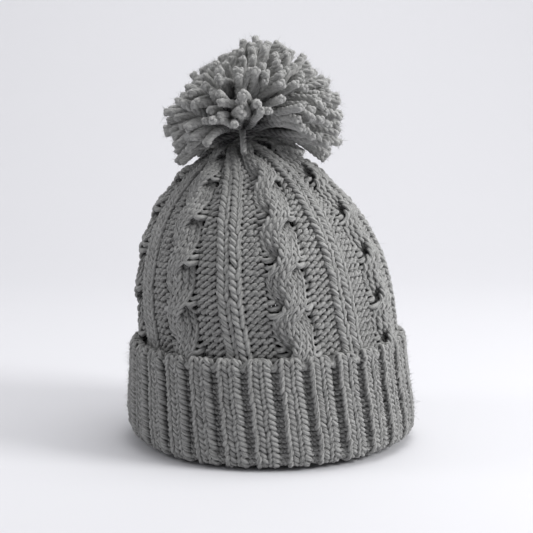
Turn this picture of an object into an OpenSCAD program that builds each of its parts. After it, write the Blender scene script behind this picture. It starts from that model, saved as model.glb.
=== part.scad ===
// Pom pom beanie: a gathered knitted crown, a turned-up ribbed cuff and a yarn pom pom.
// Millimetres, +Z up, the front towards -Y. The origin is on the floor, under the middle of the cuff.

/* [Cuff] */
// Outer radius of the cuff where it is widest
rim_r = 100; // [90:1:110]
// Height of the turned-up cuff
cuff_h = 72; // [60:1:76]
// Knit ribs round the cuff
cuff_ribs = 30; // [24:1:36]
// Depth of the furrows between the ribs
furrow = 2.8; // [0:0.2:3.4]

/* [Crown] */
// Height of the gathered top of the crown
crown_top = 203; // [196:1:208]
// Radius of the plain ground of the crown just above the cuff
crown_r = 86.5; // [80:0.5:88]
// Cable panels round the crown
panels = 7; // [5:1:9]
// How far a cable stands out from the ground
cable_rise = 2.8; // [0:0.2:4]
// How far a rib stands out from the ground
rib_rise = 1.4; // [0:0.2:2]
// Thickness of the plain ground of the knit
ground_t = 4.2; // [3.6:0.2:5]
// Sideways lean of the crown's top
lean = 13; // [0:1:16]

/* [Pom pom] */
// Radius of the pom pom over its cut ends
pom_r = 59; // [50:1:64]
// Its half height as a share of its radius
pom_flat = 0.94; // [0.85:0.01:1]
// How far the pom pom's tie stands above the crown's top
tie_rise = 13; // [12:1:16]

/* [Yarn] */
// Thickness of the yarn that sews and ties the hat
yarn_d = 3.4; // [3:0.2:3.6]

/* [Hidden] */

knit_grey = "#8f8f90";
strand_grey = "#9a9a9b";
label_white = "#e6e4de";

// The cuff's wall, and the free gap to the layer of knit that it hides
cuff_wall = 7.6;
ease = 0.5;
cuff_in_r = rim_r - cuff_wall;
layer_r = cuff_in_r - ease;
layer_t = 6.8;
layer_in_r = layer_r - layer_t;
// The fold at the hat's foot closes the space under the hidden layer
fold_h = 7.2;
layer_z = fold_h + ease;

// The dome: its radius follows (1 - u^2.6)^(1/1.45), where u is the height in it from 0 to 1
dome_z = 80;
dome_power = 2.6;
dome_root = 1.45;
dome_in_top = crown_top - 6.8;
crown_in_r = crown_r - ground_t;
hole_r = 4.6;
lean_z = 70;

// Points round each swept shell, and levels up each dome
crown_steps = 12 * panels;
cuff_steps = 4 * cuff_ribs;
outer_levels = 20;
inner_levels = 14;

tie_z = crown_top + tie_rise;
pivot_z = tie_z - 6;
// Slopes of the strands below the level of the pivot, in degrees
head_slope = 6;
skirt_slope_top = 7;
skirt_slope_low = 24;

seam_angle = 90;
seam_r = 1.5;

function dome_u(z, top) = min(1, max(0, (z - dome_z) / (top - dome_z)));
function dome_r(z, r, top) = r * pow(1 - pow(dome_u(z, top), dome_power), 1 / dome_root);
function hole_u(r) = pow(1 - pow(hole_r / r, dome_root), 1 / dome_power);
function lean_x(z) = -lean * sin(90 * min(1, max(0, (z - lean_z) / (crown_top - lean_z))));

// Relief of one panel: p runs from 0 at a cable's middle to 1 at the next one's
function cable_lobe(p) = abs(p) < 0.18 ? cos(90 * p / 0.18) : 0;
function rib_lobe(p) = abs(p) < 0.1 ? cos(90 * p / 0.1) : 0;
function panel_relief(p) =
    cable_rise * (cable_lobe(p) + cable_lobe(p - 1)) + rib_rise * rib_lobe(p - 0.5);

// A row of a profile is [radius, height, how much of the relief shows there]
function dome_rows(r, top, levels, relief) = [
    for (j = [0 : levels])
        let (u = sin(asin(hole_u(r)) * j / levels))
        let (z = dome_z + u * (top - dome_z))
        [dome_r(z, r, top), z, relief * sqrt(1 - pow(u, dome_power))]
];
function reversed(rows) = [for (j = [len(rows) - 1 : -1 : 0]) rows[j]];

crown_profile = concat(
    [[layer_r - 1.2, layer_z, 0], [layer_r, layer_z + 2, 0], [layer_r, cuff_h - 6, 0]],
    dome_rows(crown_r, crown_top, outer_levels, 1),
    reversed(dome_rows(crown_in_r, dome_in_top, inner_levels, 0)),
    [[layer_in_r, cuff_h - 6, 0], [layer_in_r, layer_z + 2, 0], [layer_in_r + 1.2, layer_z, 0]]
);

foot_r = rim_r - 8.5;
foot_half = 3;
cuff_profile = [
    [foot_r + foot_half, 0, 0],
    [rim_r - 3.2, 1.2, 0.2],
    [rim_r - 1.2, 5, 0.7],
    [rim_r - 0.3, 12, 1],
    [rim_r, 20, 1],
    [rim_r - 0.7, 32, 1],
    [rim_r - 2, cuff_h - 24, 1],
    [rim_r - 3.3, cuff_h - 11, 1],
    [rim_r - 4.2, cuff_h - 4, 0.8],
    [rim_r - 5.1, cuff_h - 0.8, 0.4],
    [rim_r - 6.2, cuff_h, 0],
    [cuff_in_r + 0.3, cuff_h - 1, 0],
    [cuff_in_r, cuff_h - 4, 0],
    [cuff_in_r, fold_h + 0.4, 0],
    [cuff_in_r - 0.5, fold_h, 0],
    [layer_in_r + 0.9, fold_h, 0],
    [layer_in_r, fold_h - 2.2, 0],
    [layer_in_r + 0.9, fold_h - 5.2, 0],
    [foot_r - foot_half, 0, 0]
];

// Joins steps of a closed profile, swept right round, into one closed skin
function sweep_faces(steps, rows) = [
    for (i = [0 : steps - 1])
        for (j = [0 : rows - 1])
            let (a = i * rows + j)
            let (b = i * rows + (j + 1) % rows)
            let (c = ((i + 1) % steps) * rows + (j + 1) % rows)
            let (d = ((i + 1) % steps) * rows + j)
            each [[a, b, c], [a, c, d]]
];

// A tube through a route's points, closed at both ends, in a vertical plane at an angle
function tube_points(route, r, sides) = [
    for (p = route)
        for (s = [0 : sides - 1])
            [p[0] + r * cos(360 * s / sides), p[1] + r * sin(360 * s / sides), p[2]]
];
function tube_faces(rings, sides) = concat(
    [[for (s = [0 : sides - 1]) s]],
    [
        for (k = [0 : rings - 2])
            for (s = [0 : sides - 1])
                let (t = (s + 1) % sides)
                each [
                    [k * sides + s, (k + 1) * sides + s, (k + 1) * sides + t],
                    [k * sides + s, (k + 1) * sides + t, k * sides + t]
                ]
    ],
    [[for (s = [sides - 1 : -1 : 0]) (rings - 1) * sides + s]]
);

module crown() {
    color(knit_grey)
        polyhedron(
            points = [
                for (i = [0 : crown_steps - 1])
                    for (row = crown_profile)
                        let (angle = 360 * i / crown_steps)
                        let (p = (i % 12) / 12)
                        let (r = row[0] + row[2] * panel_relief(p))
                        [lean_x(row[1]) + r * sin(angle), -r * cos(angle), row[1]]
            ],
            faces = sweep_faces(crown_steps, len(crown_profile))
        );
}

// The sewing yarn up the inside of the back, in small side-to-side steps
module back_seam() {
    seam_low = layer_z + 6;
    seam_top = crown_top - 26;
    stitch = 2.6;
    count = floor((seam_top - seam_low) / stitch);
    route = [
        for (k = [0 : count])
            let (z = seam_low + k * stitch)
            let (wall = z < dome_z ? band_in_r(z) : dome_r(z, crown_in_r, dome_in_top))
            [lean_x(z) + (k % 2 == 0 ? -1.2 : 1.2), wall - 0.4, z]
    ];
    color(knit_grey)
        polyhedron(points = tube_points(route, seam_r, 8), faces = tube_faces(len(route), 8));
}
// The hidden layer's inner radius runs straight from the band to the dome's foot
function band_in_r(z) =
    z < cuff_h - 6
        ? layer_in_r
        : layer_in_r + (crown_in_r - layer_in_r) * (z - cuff_h + 6) / (dome_z - cuff_h + 6);

// The drawing-up yarn through the last round of stitches
module gather_yarn() {
    color(knit_grey)
        translate([lean_x(crown_top), 0, crown_top - 2.6])
            rotate_extrude($fn = 48)
                translate([8.5, 0])
                    circle(d = yarn_d, $fn = 24);
}

// The drawing-up yarn's ends, knotted on the inside
module gather_knot() {
    color(knit_grey)
        translate([lean_x(crown_top), 14.5, crown_top - 12.4])
            sphere(r = 3.4, $fn = 32);
}

label_w = 26;
label_h = 36;
label_t = 0.9;
label_z = 74;
label_turn = 14;
label_d = 78.4;

// Blank woven label, doubled over, sewn by its top edge to the inside of the back
module care_label() {
    color(label_white)
        label_place()
            translate([-label_w / 2, -label_t / 2, label_z])
                cube([label_w, label_t, label_h]);
}

module label_stitches() {
    color(label_white)
        label_place()
            for (k = [0 : 4])
                translate([-10 + 5 * k, 0, label_z + label_h - 3])
                    rotate([-90, 0, 0])
                        translate([0, 0, -1.2])
                            cylinder(d = 0.9, h = 6, $fn = 16);
}

module label_place() {
    rotate([0, 0, label_turn])
        translate([0, label_d, 0])
            children();
}

// The outer turn of the brim, with the fold that the hat stands on
module cuff() {
    color(knit_grey)
        polyhedron(
            points = [
                for (i = [0 : cuff_steps - 1])
                    for (row = cuff_profile)
                        let (angle = 360 * i / cuff_steps)
                        let (wave = 0.5 - 0.5 * cos(90 * (i % 4)))
                        let (r = row[0] - row[2] * furrow * pow(wave, 1.5))
                        [r * sin(angle), -r * cos(angle), row[1]]
            ],
            faces = sweep_faces(cuff_steps, len(cuff_profile))
        );
}

// The sewing yarn down the back furrow of the cuff
module cuff_seam() {
    stitch = 3;
    count = floor((cuff_h - 18) / stitch);
    furrow_r = rim_r - furrow - 2.4;
    route = [
        for (k = [0 : count])
            [k % 2 == 0 ? -0.7 : 0.7, furrow_r, 9 + k * stitch]
    ];
    color(knit_grey)
        polyhedron(points = tube_points(route, seam_r, 8), faces = tube_faces(len(route), 8));
}

tail_gap = 1.75;
tail_d = 3.2;
tail_top = tie_z - 12;
tail_low = crown_top - 15;

module on_top() {
    translate([lean_x(crown_top), 0, 0])
        children();
}

// Both ends of the pom pom's tie, drawn down through the middle of the crown
module tie_tails() {
    color(strand_grey)
        on_top()
            for (side = [-1, 1])
                translate([side * tail_gap, 0, tail_low])
                    cylinder(d = tail_d, h = tail_top - tail_low, $fn = 24);
}

// The ends' knot under the crown, too big to pass its hole
module inside_knot() {
    color(strand_grey)
        on_top()
            translate([0, 0, crown_top - 13.4])
                sphere(r = 6, $fn = 48);
}

// What the strands fill below a cone from the pivot, at a slope under the level
module below_slope(slope) {
    reach = 2 * pom_r;
    translate([0, 0, pivot_z])
        rotate_extrude($fn = 96)
            polygon([[0, 0], [reach, -reach * tan(slope)], [reach, -reach], [0, -reach]]);
}

// The ball that the strands' cut ends lie on
module strand_ball() {
    translate([0, 0, tie_z])
        scale([1, 1, pom_flat])
            sphere(r = pom_r, $fn = 96);
}

// Cut strands that lie down on the crown all round, taken together as one soft ring
module lower_strands() {
    color(strand_grey)
        on_top()
            difference() {
                intersection() {
                    strand_ball();
                    below_slope(skirt_slope_top);
                }
                below_slope(skirt_slope_low);
                translate([0, 0, tie_z - pom_r])
                    cylinder(r = 17, h = pom_r, $fn = 64);
            }
}

// The cut strands of the pom pom's head, taken together as one soft ball
module pompom_strands() {
    color(strand_grey)
        on_top()
            difference() {
                strand_ball();
                below_slope(head_slope);
                translate([0, 0, tie_z])
                    sphere(r = 12, $fn = 64);
            }
}

// The yarn wound tightly round the strands' middle
module pompom_binding() {
    color(strand_grey)
        on_top()
            translate([0, 0, tie_z])
                rotate([0, 90, 0])
                    rotate_extrude($fn = 48)
                        translate([6, 0])
                            circle(d = yarn_d, $fn = 24);
}

// The binding's knot at the underside, where its tails leave it
module binding_knot() {
    color(strand_grey)
        on_top()
            translate([0, 0, tie_z - 8.2])
                sphere(r = 3.2, $fn = 32);
}

crown();
back_seam();
gather_yarn();
gather_knot();
care_label();
label_stitches();
cuff();
cuff_seam();
tie_tails();
inside_knot();
lower_strands();
pompom_strands();
pompom_binding();
binding_knot();
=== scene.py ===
"""Looks of a pom pom beanie: every course of its knitting and every strand of its pom pom as yarn.

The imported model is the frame. Its lengths are metres, +Z up, the front towards -Y. Each course of knitting
is swept as one closed strand of yarn through its stitches, so ribs, purl ground and cables come from loops.
"""

import logging
import math
from dataclasses import dataclass, replace
from enum import Enum
from typing import Callable

import bpy
import numpy as np
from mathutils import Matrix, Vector


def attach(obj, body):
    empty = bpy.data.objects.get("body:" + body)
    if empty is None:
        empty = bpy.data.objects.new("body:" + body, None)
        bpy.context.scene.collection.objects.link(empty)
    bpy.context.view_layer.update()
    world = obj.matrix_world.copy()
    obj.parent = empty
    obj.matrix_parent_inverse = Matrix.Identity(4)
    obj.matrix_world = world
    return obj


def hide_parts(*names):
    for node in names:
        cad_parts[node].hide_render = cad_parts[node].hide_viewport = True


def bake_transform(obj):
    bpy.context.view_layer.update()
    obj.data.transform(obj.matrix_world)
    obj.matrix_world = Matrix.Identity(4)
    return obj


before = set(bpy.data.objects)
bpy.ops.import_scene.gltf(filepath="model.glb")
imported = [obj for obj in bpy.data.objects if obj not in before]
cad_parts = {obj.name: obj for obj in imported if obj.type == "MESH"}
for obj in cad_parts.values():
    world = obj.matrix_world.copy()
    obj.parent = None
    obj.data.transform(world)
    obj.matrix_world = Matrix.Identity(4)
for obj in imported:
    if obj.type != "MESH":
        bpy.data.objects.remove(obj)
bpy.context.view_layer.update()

log = logging.getLogger("beanie")
MM = 0.001
TURN = 2 * math.pi
Array = np.ndarray


# ---------------------------------------------------------------- materials

def linear(hex_colour: str) -> tuple[float, float, float, float]:
    """Turns an sRGB hex colour to linear light.

    Args:
        hex_colour: six hex digits, such as "8a8a8c".

    Returns:
        Red, green, blue and an alpha of 1.
    """
    parts = [int(hex_colour[i:i + 2], 16) / 255 for i in (0, 2, 4)]
    red, green, blue = (p / 12.92 if p <= 0.04045 else ((p + 0.055) / 1.055) ** 2.4 for p in parts)
    return red, green, blue, 1.0


def add_node(tree: bpy.types.NodeTree, kind: str, settings: dict | None = None, **inputs) -> bpy.types.Node:
    """Adds one node with its settings and links.

    Args:
        tree: the material's node tree.
        kind: the node's class name after "ShaderNode".
        settings: the node's own properties, by name.
        inputs: values or output sockets for its inputs, by name or as in_0, in_1 by place.

    Returns:
        The node.
    """
    node = tree.nodes.new("ShaderNode" + kind)
    for name, value in (settings or {}).items():
        setattr(node, name, value)
    for name, value in inputs.items():
        place = int(name[3:]) if name.startswith("in_") else name.replace("_", " ")
        socket = node.inputs[place]
        if isinstance(value, bpy.types.NodeSocket):
            tree.links.new(value, socket)
        else:
            socket.default_value = value
    return node


def new_material(name: str) -> tuple[bpy.types.Material, bpy.types.NodeTree]:
    """Makes an empty node material.

    Args:
        name: the material's name.

    Returns:
        The material and its node tree.
    """
    material = bpy.data.materials.new(name)
    material.use_nodes = True
    material.node_tree.nodes.clear()
    return material, material.node_tree


@dataclass(frozen=True)
class PliedYarn:
    """Chunky yarn of acrylic and wool, spun soft, plied and brushed a little by wear.

    Short fibres stand off it all over, so it has no gloss, its edges look a shade lighter against the light,
    and its colour is a heather: each fibre is a slightly different grey.
    """

    name: str
    dark: str
    light: str
    # The colour of full painted shade, between and under strands
    painted_shade_colour: str = "1b1b1c"
    roughness: float = 0.95
    sheen: float = 0.22
    # Painted shade in the grooves between the plies, and how deep the grooves are drawn in relief
    ply_painted_shade: float = 0.3
    ply_depth: float = 0.55
    # Three plies turn once round each other in this length
    ply_pitch: float = 13 * MM
    plies: int = 3
    # Streaks of fibres along the twist, drawn coarser than a 25 micron fibre so that they show
    streak_width: float = 0.5 * MM
    streak_length: float = 3.2 * MM
    heather_size: float = 8 * MM

    def build(self) -> bpy.types.Material:
        """Builds the yarn's node material.

        Returns:
            The material, which reads the "yarn" UV map: metres along the yarn, and turns round it.
        """
        material, tree = new_material(self.name)
        run = add_node(tree, "UVMap", {"uv_map": "yarn"})
        parts = add_node(tree, "SeparateXYZ", Vector=run.outputs["UV"])
        along = add_node(tree, "Math", {"operation": "MULTIPLY"}, in_0=parts.outputs["X"], in_1=TURN / self.ply_pitch)
        round_it = add_node(tree, "Math", {"operation": "MULTIPLY"}, in_0=parts.outputs["Y"], in_1=TURN * self.plies)
        twist = add_node(tree, "Math", {"operation": "ADD"}, in_0=along.outputs[0], in_1=round_it.outputs[0])
        ply = add_node(tree, "Math", {"operation": "SINE"}, in_0=twist.outputs[0])
        groove = add_node(tree, "MapRange", Value=ply.outputs[0], From_Min=-1.0, From_Max=-0.1)
        # The same streaks all the way along would show as a grid, so they also follow the place in the hat
        place = add_node(tree, "TexCoord")
        fibre_run = add_node(tree, "Math", {"operation": "MULTIPLY"}, in_0=parts.outputs["X"],
                             in_1=1 / self.streak_length)
        fibre_round = add_node(tree, "Math", {"operation": "MULTIPLY"}, in_0=twist.outputs[0],
                               in_1=0.55 * MM / self.streak_width)
        fibre_place = add_node(tree, "CombineXYZ", X=fibre_run.outputs[0], Y=fibre_round.outputs[0])
        streaks = add_node(tree, "TexNoise", Vector=fibre_place.outputs[0], Scale=1.0, Detail=2.5, Roughness=0.6)
        grain = add_node(tree, "TexNoise", Vector=place.outputs["Object"], Scale=1 / self.streak_width / 2.6,
                         Detail=3.0, Roughness=0.6)
        heather = add_node(tree, "TexNoise", Vector=place.outputs["Object"], Scale=1 / self.heather_size,
                           Detail=3.0, Roughness=0.55)
        fibres = add_node(tree, "Math", {"operation": "MULTIPLY_ADD"}, in_0=streaks.outputs["Fac"], in_1=0.9,
                          in_2=grain.outputs["Fac"])
        fleck = add_node(tree, "MapRange", Value=fibres.outputs[0], From_Min=0.62, From_Max=1.28)
        shade = add_node(tree, "Mix", {"data_type": "FLOAT"}, in_0=0.3, in_2=fleck.outputs[0],
                         in_3=heather.outputs["Fac"])
        heathered = add_node(tree, "Mix", {"data_type": "RGBA"}, in_0=shade.outputs[0],
                             in_6=linear(self.dark), in_7=linear(self.light))
        # The ply grooves are darkened with painted shade
        groove_painted_shade = add_node(tree, "Math", {"operation": "MULTIPLY_ADD"}, in_0=groove.outputs[0],
                           in_1=self.ply_painted_shade, in_2=1 - self.ply_painted_shade)
        # Painted shade: the colour is mixed towards the painted shade colour where the painted light attribute is low,
        # between and under strands and in the ply grooves
        painted_light_level = add_node(tree, "Attribute", {"attribute_name": "painted_light"})
        lit = add_node(tree, "Math", {"operation": "MULTIPLY", "use_clamp": True}, in_0=painted_light_level.outputs["Fac"],
                       in_1=groove_painted_shade.outputs[0])
        tint = add_node(tree, "Mix", {"data_type": "RGBA"}, in_0=lit.outputs[0],
                        in_6=linear(self.painted_shade_colour), in_7=heathered.outputs[2])
        plies = add_node(tree, "Bump", Strength=self.ply_depth, Distance=0.6 * MM, Height=groove.outputs[0])
        fuzz = add_node(tree, "Bump", Strength=0.7, Distance=0.45 * MM, Height=fibres.outputs[0],
                        Normal=plies.outputs["Normal"])
        shader = add_node(tree, "BsdfPrincipled", Base_Color=tint.outputs[2], Roughness=self.roughness,
                          Specular_IOR_Level=0.15, Sheen_Weight=self.sheen, Sheen_Roughness=0.6,
                          Normal=fuzz.outputs["Normal"])
        add_node(tree, "OutputMaterial", Surface=shader.outputs[0])
        return material


@dataclass(frozen=True)
class WovenSatin:
    """Polyester satin ribbon, woven narrow and heat cut: floats of bright yarn give a soft sheen one way."""

    name: str = "woven polyester satin, off-white"
    colour: str = "e9e5db"
    shadow: str = "cfc9bb"
    thread: float = 0.25 * MM

    def build(self) -> bpy.types.Material:
        """Builds the ribbon's node material.

        Returns:
            The material, with the weave's fine ridges across the ribbon.
        """
        material, tree = new_material(self.name)
        place = add_node(tree, "TexCoord")
        weft = add_node(tree, "TexWave", {"bands_direction": "Z"}, Vector=place.outputs["Object"],
                        Scale=1 / self.thread / 8, Distortion=0.6, Detail=2.0)
        warp = add_node(tree, "TexWave", {"bands_direction": "X"}, Vector=place.outputs["Object"],
                        Scale=1 / self.thread / 16, Distortion=0.6, Detail=2.0)
        weave = add_node(tree, "Math", {"operation": "MULTIPLY"}, in_0=weft.outputs["Fac"], in_1=warp.outputs["Fac"])
        tint = add_node(tree, "Mix", {"data_type": "RGBA"}, in_0=weave.outputs[0],
                        in_6=linear(self.shadow), in_7=linear(self.colour))
        relief = add_node(tree, "Bump", Strength=0.4, Distance=0.15 * MM, Height=weave.outputs[0])
        shader = add_node(tree, "BsdfPrincipled", Base_Color=tint.outputs[2], Roughness=0.42, Sheen_Weight=0.15,
                          Normal=relief.outputs["Normal"])
        add_node(tree, "OutputMaterial", Surface=shader.outputs[0])
        return material


@dataclass(frozen=True)
class MattPaper:
    """Seamless studio paper: matt and pale, so the hat's shadow lies soft on it."""

    name: str
    colour: str

    def build(self) -> bpy.types.Material:
        """Builds the paper's node material.

        Returns:
            The material, with a faint tooth.
        """
        material, tree = new_material(self.name)
        place = add_node(tree, "TexCoord")
        tooth = add_node(tree, "TexNoise", Vector=place.outputs["Object"], Scale=900.0, Detail=2.0)
        relief = add_node(tree, "Bump", Strength=0.05, Distance=0.1 * MM, Height=tooth.outputs["Fac"])
        shader = add_node(tree, "BsdfPrincipled", Base_Color=linear(self.colour), Roughness=0.8,
                          Specular_IOR_Level=0.1, Normal=relief.outputs["Normal"])
        add_node(tree, "OutputMaterial", Surface=shader.outputs[0])
        return material


# ---------------------------------------------------------------- yarn as tubes

def unit(vectors: Array) -> Array:
    """Scales vectors on the last axis to length 1."""
    return vectors / np.maximum(np.linalg.norm(vectors, axis=-1, keepdims=True), 1e-12)


def smooth(x: Array) -> Array:
    """The smooth step from 0 to 1 of x, clamped."""
    x = np.clip(x, 0, 1)
    return x * x * (3 - 2 * x)


@dataclass
class Strands:
    """Several strands of yarn with the same number of points, ready to be swept as tubes.

    Args:
        points: their centre lines, as (strand, point, 3).
        radii: the yarn's radius at each point, as (strand, point).
        closed: whether each strand's end joins its start.
        sides: the number of sides of the tube.
        painted_light_level: painted light at each point, from 0, painted full shade where buried among other strands,
            to 1, no painted shade out in the light.
        outward: the way out of the fabric at each point, and
        spread: how much lighter a strand's outer side is painted than its middle, so that its flanks get painted
            shade.
    """

    points: Array
    radii: Array
    closed: bool
    sides: int = 8
    painted_light_level: Array | None = None
    outward: Array | None = None
    spread: float = 0.35

    def frames(self) -> tuple[Array, Array]:
        """Carries a cross-section along each strand without letting it spin.

        Returns:
            Two unit vectors across the strand at each point.
        """
        p = self.points
        if self.closed:
            tangent = unit(np.roll(p, -1, axis=1) - np.roll(p, 1, axis=1))
        else:
            tangent = unit(np.gradient(p, axis=1))
        start = np.where(np.abs(tangent[:, 0, 2:3]) < 0.8, [[0.0, 0.0, 1.0]], [[1.0, 0.0, 0.0]])
        normal = np.empty_like(p)
        current = unit(np.cross(np.cross(tangent[:, 0], start), tangent[:, 0]))
        normal[:, 0] = current
        for k in range(1, p.shape[1]):
            t = tangent[:, k]
            current = unit(current - t * np.sum(current * t, axis=-1, keepdims=True))
            normal[:, k] = current
        binormal = np.cross(tangent, normal)
        if self.closed:
            t = tangent[:, 0]
            last = unit(current - t * np.sum(current * t, axis=-1, keepdims=True))
            slip = np.arctan2(np.sum(last * binormal[:, 0], -1), np.sum(last * normal[:, 0], -1))
            angle = -slip[:, None] * np.arange(p.shape[1]) / p.shape[1]
            cos, sin = np.cos(angle)[..., None], np.sin(angle)[..., None]
            normal, binormal = cos * normal + sin * binormal, cos * binormal - sin * normal
        return normal, binormal

    def tubes(self) -> tuple[Array, Array, Array, Array]:
        """Sweeps the strands.

        Returns:
            Vertices, four-sided faces, each face corner's place on the yarn (metres along, turns round), and
            the painted light at each vertex, from 0 for full painted shade to 1 for none.
        """
        count, rings, _ = self.points.shape
        normal, binormal = self.frames()
        turn = TURN * np.arange(self.sides) / self.sides
        across = (np.cos(turn)[:, None] * normal[:, :, None] + np.sin(turn)[:, None] * binormal[:, :, None])
        vertices = (self.points[:, :, None] + self.radii[:, :, None, None] * across).reshape(-1, 3)
        following = np.roll(self.points, -1, axis=1)
        steps = np.linalg.norm(following - self.points, axis=-1)
        run = np.concatenate([np.zeros((count, 1)), np.cumsum(steps, axis=1)], axis=1)
        spans = rings if self.closed else rings - 1
        s, k, j = np.meshgrid(np.arange(count), np.arange(spans), np.arange(self.sides), indexing="ij")
        k1, j1 = (k + 1) % rings, (j + 1) % self.sides
        index = [(s * rings + a) * self.sides + b for a, b in ((k, j), (k, j1), (k1, j1), (k1, j))]
        faces = np.stack([i.ravel() for i in index], axis=-1)
        lengths = [run[s, k], run[s, k], run[s, k + 1], run[s, k + 1]]
        turns = [j, j + 1, j + 1, j]
        places = np.stack([np.stack([a.ravel(), b.ravel() / self.sides], -1) for a, b in zip(lengths, turns)], 1)
        # Painted shade: each vertex takes its point's painted light, and the side of the tube that faces into the
        # fabric is painted darker than the side that faces out
        painted_light = np.ones((count, rings, self.sides))
        if self.painted_light_level is not None:
            painted_light = np.repeat(self.painted_light_level[:, :, None], self.sides, axis=2)
        if self.outward is not None:
            painted_light = painted_light + self.spread * np.sum(across * self.outward[:, :, None], axis=-1)
        return vertices, faces, places.reshape(-1, 2), smooth(painted_light).ravel()


def plied(core: Strands, pitch: float, phase: Array | float = 0.0, flare: Array | float = 1.0) -> Strands:
    """Lays three plies round each strand's centre line.

    Args:
        core: the strands, whose radii are the whole yarn's.
        pitch: the length in which the plies turn once.
        phase: where each strand's first ply starts.
        flare: how far the plies stand apart at each point, 1 being close together.

    Returns:
        Three strands for each one.
    """
    normal, binormal = core.frames()
    steps = np.linalg.norm(np.diff(core.points, axis=1), axis=-1)
    run = np.concatenate([np.zeros((len(steps), 1)), np.cumsum(steps, axis=1)], axis=1)
    if core.closed:
        whole = run[:, -1:] + np.linalg.norm(core.points[:, 0] - core.points[:, -1], axis=-1)[:, None]
        run = run * np.round(whole / pitch) * pitch / whole
    made, away = [], []
    for ply in range(3):
        turn = (TURN * (run / pitch + ply / 3) + phase)[..., None]
        way = np.cos(turn) * normal + np.sin(turn) * binormal
        made.append(core.points + (0.43 * core.radii * flare)[..., None] * way)
        away.append(way)
    # Painted shade: each ply takes its strand's painted light, 0.7 where none is given, and its side towards the other
    # plies is painted darker than its outer side
    painted_light = core.painted_light_level if core.painted_light_level is not None else np.full(core.radii.shape, 0.7)
    return Strands(np.concatenate(made), np.tile(0.58 * core.radii, (3, 1)), core.closed, core.sides,
                   np.tile(painted_light, (3, 1)), np.concatenate(away), 0.4)


def fibres(roots: Array, ways: Array, length: float, thickness: float, random: np.random.Generator) -> Strands:
    """Short loose fibres that stand off a surface and curl.

    Args:
        roots: where they leave it.
        ways: the way out of it at each root.
        length: their usual length.
        thickness: how thick they are drawn.
        random: their piece's own generator.

    Returns:
        One open strand for each root.
    """
    count = len(roots)
    lean = unit(ways + 0.75 * random.standard_normal((count, 3)))
    curl = unit(np.cross(lean, random.standard_normal((count, 3))))
    size = length * np.exp(random.normal(0, 0.35, (count, 1)))
    tau = np.linspace(0, 1, 4)[None, :, None]
    bend = random.normal(0, 0.4, (count, 1, 1))
    points = roots[:, None] + size[:, None] * (tau * lean[:, None] + bend * tau ** 2 * curl[:, None])
    radii = thickness / 2 * np.tile(np.array([1.0, 0.9, 0.7, 0.25]), (count, 1))
    # The fibres get a painted light of 0.9, so a little painted shade
    return Strands(points, radii, False, 3, np.full((count, 4), 0.9))


class YarnPiece:
    """Collects strands, and makes one Blender object of them."""

    def __init__(self, name: str, material: bpy.types.Material) -> None:
        """Starts an empty piece.

        Args:
            name: the piece's name.
            material: its finish.
        """
        self.name = name
        self.material = material
        self.vertices: list[Array] = []
        self.faces: list[Array] = []
        self.places: list[Array] = []
        self.painted_light: list[Array] = []
        self.count = 0

    def add(self, strands: Strands) -> "YarnPiece":
        """Adds swept strands.

        Args:
            strands: what to sweep.

        Returns:
            The piece itself.
        """
        vertices, faces, places, painted_light = strands.tubes()
        self.vertices.append(vertices)
        self.faces.append(faces + self.count)
        self.places.append(places)
        self.painted_light.append(painted_light)
        self.count += len(vertices)
        return self

    def build(self) -> bpy.types.Object:
        """Makes the object.

        Returns:
            A smooth-shaded mesh object with a "yarn" UV map and a "painted_light" attribute, whose low values paint
            shade into the yarn's colour.
        """
        vertices, faces = np.concatenate(self.vertices), np.concatenate(self.faces)
        mesh = bpy.data.meshes.new(self.name)
        mesh.vertices.add(len(vertices))
        mesh.vertices.foreach_set("co", vertices.astype(np.float32).ravel())
        mesh.loops.add(faces.size)
        mesh.loops.foreach_set("vertex_index", faces.astype(np.int32).ravel())
        mesh.polygons.add(len(faces))
        mesh.polygons.foreach_set("loop_start", np.arange(0, faces.size, 4, dtype=np.int32))
        mesh.polygons.foreach_set("use_smooth", np.ones(len(faces), dtype=bool))
        layer = mesh.uv_layers.new(name="yarn")
        layer.data.foreach_set("uv", np.concatenate(self.places).astype(np.float32).ravel())
        painted_light = mesh.attributes.new("painted_light", "FLOAT", "POINT")
        painted_light.data.foreach_set("value", np.concatenate(self.painted_light).astype(np.float32))
        mesh.update(calc_edges=True)
        mesh.materials.append(self.material)
        piece = bpy.data.objects.new(self.name, mesh)
        bpy.context.scene.collection.objects.link(piece)
        log.info("%s: %d faces", self.name, len(faces))
        return piece


# ---------------------------------------------------------------- knitting

class Face(Enum):
    """Which side of a stitch the outside shows."""

    KNIT = 1
    PURL = -1


@dataclass(frozen=True)
class Loop:
    """How a stitch's yarn runs. Shares are of the wale's width or the course's height.

    Args:
        face: knit or purl.
        splay: how far the legs open towards the head, as a share of the width.
        rise: half the loop's height, as a share of the course's height.
        depth: half the way from the back of the head to the front of the legs, in metres.
        skew: how far the head sits to the right of the loop's middle, as a share of the width.
        slant: how much heads and feet slope up to the right, as a share of the course's height.
        tip: how far the left leg stands in front of the right one, in metres.
        radius: the yarn's radius here, in metres.
    """

    face: Face
    splay: float
    rise: float
    depth: float
    skew: float
    slant: float
    tip: float
    radius: float


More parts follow.
